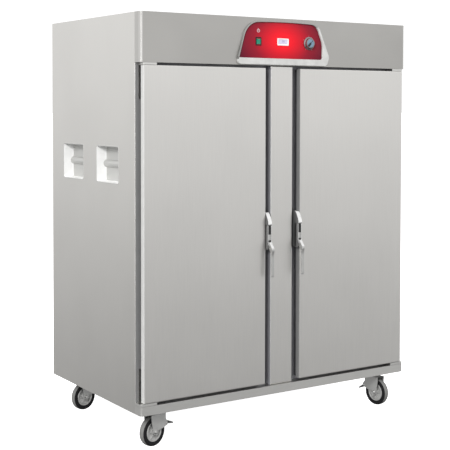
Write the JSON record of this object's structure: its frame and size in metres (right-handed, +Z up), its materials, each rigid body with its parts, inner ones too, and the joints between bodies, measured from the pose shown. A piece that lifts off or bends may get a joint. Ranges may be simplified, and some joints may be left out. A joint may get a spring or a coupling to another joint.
{
  "type": "proofing cabinet",
  "caption": "Tall stainless proofing cabinet on swivel casters, with paired overlay doors, edge latches, a header control panel and recessed hand pockets.",
  "frame": {"origin": "on the floor, under the middle of the assembly's width and depth", "axes": "+Z up, the doors face -Y, +X is the right-hand side seen from the front"},
  "size_m": [1.45, 0.96, 1.845],
  "materials": {
    "brushed_steel": "satin brushed",
    "liner_steel": "smooth",
    "chrome": "polished",
    "zinc": "zinc plated",
    "red_panel": "glossy",
    "silver_plastic": "satin silver",
    "black_plastic": "matte",
    "green_plastic": "glossy",
    "display": "glossy",
    "grey_plastic": "satin",
    "gasket": "matte",
    "tyre": "matte",
    "element": "heat-tinted"
  },
  "bodies": {
    "cabinet": {"left_side_panel": "brushed_steel", "right_side_panel": "brushed_steel", "back_panel": "brushed_steel", "roof_panel": "brushed_steel", "base_pan": "brushed_steel", "front_frame": "brushed_steel", "header_fascia": "brushed_steel", "bottom_rail": "brushed_steel", "mullion_cover": "brushed_steel", "inner_liner": "liner_steel", "left_front_hand_pocket": "brushed_steel", "left_rear_hand_pocket": "brushed_steel", "right_front_hand_pocket": "brushed_steel", "right_rear_hand_pocket": "brushed_steel", "left_top_hinge_bracket": "zinc", "left_bottom_hinge_bracket": "zinc", "right_top_hinge_bracket": "zinc", "right_bottom_hinge_bracket": "zinc", "control_bezel": "silver_plastic", "control_face": "red_panel", "power_switch_frame": "black_plastic", "temperature_display": "display", "thermostat": "grey_plastic", "left_outer_tray_ladder": "liner_steel", "left_centre_tray_ladder": "liner_steel", "right_centre_tray_ladder": "liner_steel", "right_outer_tray_ladder": "liner_steel", "heating_element": "element", "water_pan": "liner_steel", "cable_gland": "black_plastic", "front_left_caster_plate": "zinc", "front_right_caster_plate": "zinc", "rear_left_caster_plate": "zinc", "rear_right_caster_plate": "zinc"},
    "left_door": {"left_door_skin": "brushed_steel", "left_door_inner_panel": "liner_steel", "left_door_gasket": "gasket", "left_latch_body": "chrome"},
    "left_lever": {"left_latch_lever": "chrome"},
    "right_door": {"right_door_skin": "brushed_steel", "right_door_inner_panel": "liner_steel", "right_door_gasket": "gasket", "right_latch_body": "chrome"},
    "right_lever": {"right_latch_lever": "chrome"},
    "rocker": {"power_rocker": "green_plastic"},
    "knob": {"thermostat_knob": "silver_plastic"},
    "front_left_swivel": {"front_left_caster_fork": "zinc"},
    "front_left_wheel": {"front_left_caster_hub": "grey_plastic", "front_left_caster_tyre": "tyre"},
    "front_left_pedal": {"front_left_brake_pedal": "zinc"},
    "front_right_swivel": {"front_right_caster_fork": "zinc"},
    "front_right_wheel": {"front_right_caster_hub": "grey_plastic", "front_right_caster_tyre": "tyre"},
    "front_right_pedal": {"front_right_brake_pedal": "zinc"},
    "rear_left_swivel": {"rear_left_caster_fork": "zinc"},
    "rear_left_wheel": {"rear_left_caster_hub": "grey_plastic", "rear_left_caster_tyre": "tyre"},
    "rear_right_swivel": {"rear_right_caster_fork": "zinc"},
    "rear_right_wheel": {"rear_right_caster_hub": "grey_plastic", "rear_right_caster_tyre": "tyre"}
  },
  "joints": [
    {"name": "left_door_hinge", "type": "hinge", "parent": "cabinet", "child": "left_door", "pos_m": [-0.694, -0.418, 0.914], "axis": [0, 0, -1], "range_deg": [0, 180]},
    {"name": "left_latch_pivot", "type": "hinge", "parent": "left_door", "child": "left_lever", "pos_m": [-0.0831, -0.453, 0.834], "axis": [-1, 0, 0], "range_deg": [0, 35], "stiffness_Nm_per_rad": 0.8, "springref_deg": -14.32},
    {"name": "right_door_hinge", "type": "hinge", "parent": "cabinet", "child": "right_door", "pos_m": [0.694, -0.418, 0.914], "axis": [0, 0, 1], "range_deg": [0, 180]},
    {"name": "right_latch_pivot", "type": "hinge", "parent": "right_door", "child": "right_lever", "pos_m": [0.0831, -0.453, 0.834], "axis": [-1, 0, 0], "range_deg": [0, 35], "stiffness_Nm_per_rad": 0.8, "springref_deg": -14.32},
    {"name": "power_rocker_tilt", "type": "hinge", "parent": "cabinet", "child": "rocker", "pos_m": [-0.139, -0.438, 1.739], "axis": [-1, 0, 0], "range_deg": [0, 14]},
    {"name": "thermostat_turn", "type": "hinge", "parent": "cabinet", "child": "knob", "pos_m": [0.138, -0.439, 1.738], "axis": [0, 1, 0], "range_deg": [0, 300]},
    {"name": "front_left_swivel_turn", "type": "hinge", "parent": "cabinet", "child": "front_left_swivel", "pos_m": [-0.6, -0.351, 0.139], "axis": [0, 0, 1], "continuous": true},
    {"name": "front_left_wheel_spin", "type": "hinge", "parent": "front_left_swivel", "child": "front_left_wheel", "pos_m": [-0.63091, -0.35928, 0.0622], "axis": [-0.2588, 0.9659, 0], "continuous": true},
    {"name": "front_left_brake_press", "type": "hinge", "parent": "front_left_swivel", "child": "front_left_pedal", "pos_m": [-0.56716, -0.3422, 0.088], "axis": [-0.2588, 0.9659, 0], "range_deg": [0, 22]},
    {"name": "front_right_swivel_turn", "type": "hinge", "parent": "cabinet", "child": "front_right_swivel", "pos_m": [0.6, -0.351, 0.139], "axis": [0, 0, 1], "continuous": true},
    {"name": "front_right_wheel_spin", "type": "hinge", "parent": "front_right_swivel", "child": "front_right_wheel", "pos_m": [0.60445, -0.38269, 0.0622], "axis": [-0.9903, -0.1392, 0], "continuous": true},
    {"name": "front_right_brake_press", "type": "hinge", "parent": "front_right_swivel", "child": "front_right_pedal", "pos_m": [0.59527, -0.31733, 0.088], "axis": [-0.9903, -0.1392, 0], "range_deg": [-22, 0]},
    {"name": "rear_left_swivel_turn", "type": "hinge", "parent": "cabinet", "child": "rear_left_swivel", "pos_m": [-0.6, 0.331, 0.139], "axis": [0, 0, 1], "continuous": true},
    {"name": "rear_left_wheel_spin", "type": "hinge", "parent": "rear_left_swivel", "child": "rear_left_wheel", "pos_m": [-0.63105, 0.32326, 0.0622], "axis": [-0.2419, 0.9703, 0], "continuous": true},
    {"name": "rear_right_swivel_turn", "type": "hinge", "parent": "cabinet", "child": "rear_right_swivel", "pos_m": [0.6, 0.331, 0.139], "axis": [0, 0, 1], "continuous": true},
    {"name": "rear_right_wheel_spin", "type": "hinge", "parent": "rear_right_swivel", "child": "rear_right_wheel", "pos_m": [0.57077, 0.31798, 0.0622], "axis": [-0.4067, 0.9135, 0], "continuous": true}
  ]
}
